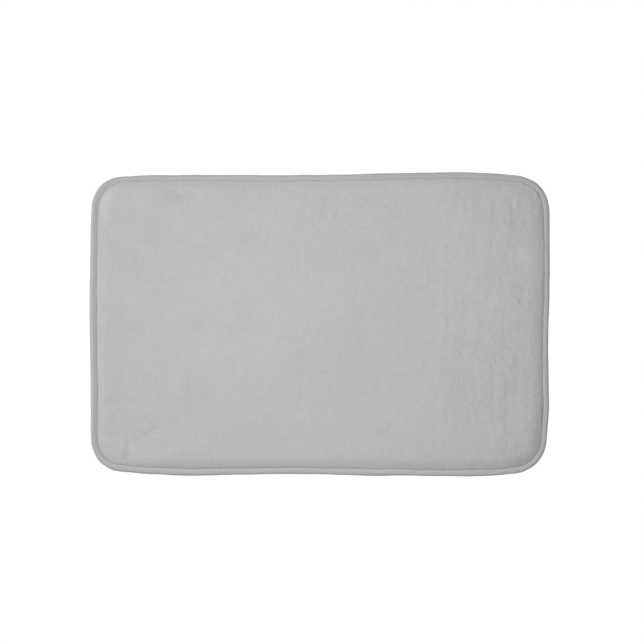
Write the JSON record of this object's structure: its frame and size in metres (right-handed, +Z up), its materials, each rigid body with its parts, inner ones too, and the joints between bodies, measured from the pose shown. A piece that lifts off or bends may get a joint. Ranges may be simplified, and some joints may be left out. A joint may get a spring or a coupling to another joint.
{
  "type": "bath mat",
  "caption": "Padded rectangular bath mat with rounded corners: plush top over a foam core, a corded bound rim and a dotted grip backing.",
  "frame": {"origin": "on the floor under the middle of the mat", "axes": "+X along the length of the mat, +Y along its width, +Z up out of the plush face"},
  "size_m": [0.61, 0.399, 0.015],
  "materials": {
    "plush": "matte",
    "foam": "matte",
    "grip_backing": "matte",
    "binding": "matte",
    "cord": "matte",
    "thread": "matte",
    "label": "satin"
  },
  "bodies": {
    "root": {"top_cover": "plush", "foam_core": "foam", "backing": "grip_backing", "edge_binding": "binding", "filler_cord": "cord", "needle_thread": "thread", "bobbin_thread": "thread", "care_label": "label"}
  },
  "joints": []
}
